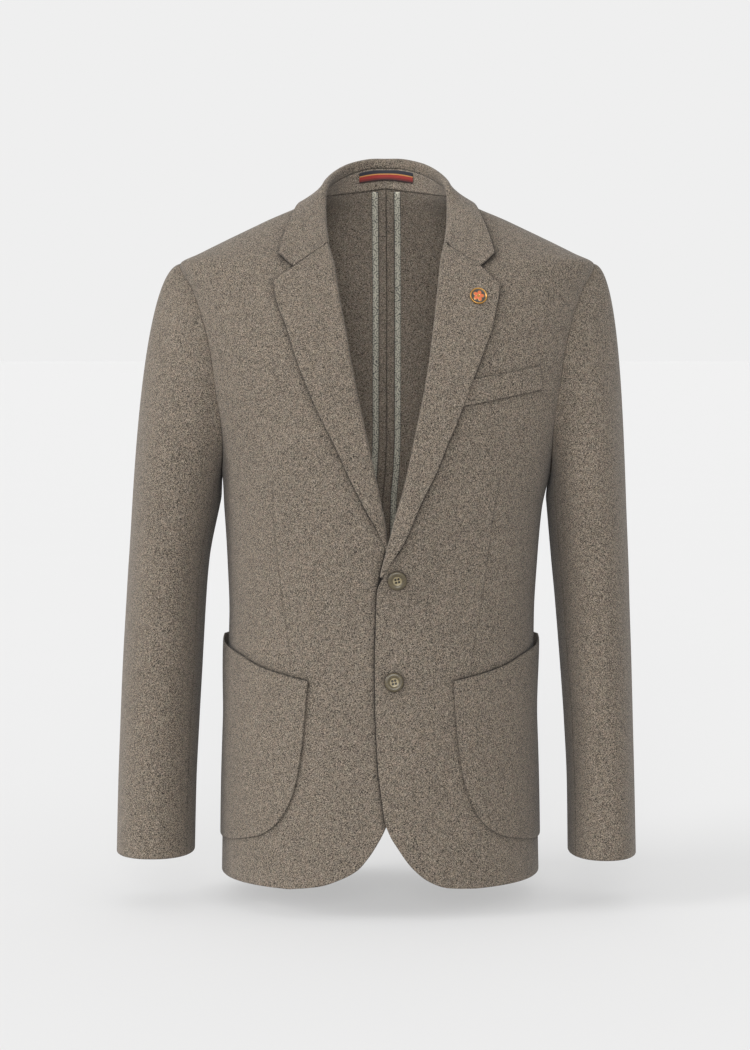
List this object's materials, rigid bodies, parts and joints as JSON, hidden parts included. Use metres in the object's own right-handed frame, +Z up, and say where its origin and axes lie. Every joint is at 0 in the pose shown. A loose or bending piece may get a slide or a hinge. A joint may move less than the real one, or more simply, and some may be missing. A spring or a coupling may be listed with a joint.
{
  "type": "knitted blazer",
  "caption": "Single-breasted knitted blazer in its filled-out hollow shape, with notch lapels, patch pockets, a breast welt and open neck, cuffs and hem.",
  "frame": {"origin": "middle of the neck opening, level with the side neck points", "axes": "+Z up, -Y to the front of the garment, +X to the wearer's left"},
  "size_m": [0.559, 0.2797, 0.7717],
  "materials": {
    "melange_knit": "fulled melange knit in taupe, grey and brown, matte and a little fuzzy",
    "inner_knit": "inside of the same knit, matte",
    "paisley_tape": "light woven tape with a small paisley",
    "loop_ribbon": "woven ribbon with a navy, a gold and a red band",
    "horn": "olive-brown horn, satin",
    "pin_metal": "gilt metal with enamel"
  },
  "bodies": {
    "root": {"front_right": "melange_knit", "front_left": "melange_knit", "side_right": "melange_knit", "side_left": "melange_knit", "back_right": "melange_knit", "back_left": "melange_knit", "top_sleeve_right": "melange_knit", "top_sleeve_left": "melange_knit", "under_sleeve_right": "melange_knit", "under_sleeve_left": "melange_knit", "lapel_right": "melange_knit", "lapel_left": "melange_knit", "collar_fall": "melange_knit", "patch_pocket_right": "melange_knit", "patch_pocket_left": "melange_knit", "breast_welt": "melange_knit", "collar_stand": "inner_knit", "seam_turning_right": "inner_knit", "seam_turning_left": "inner_knit", "binding_right": "paisley_tape", "binding_left": "paisley_tape", "hanger_loop": "loop_ribbon", "button_upper": "horn", "button_lower": "horn", "lapel_pin": "pin_metal"}
  },
  "joints": []
}
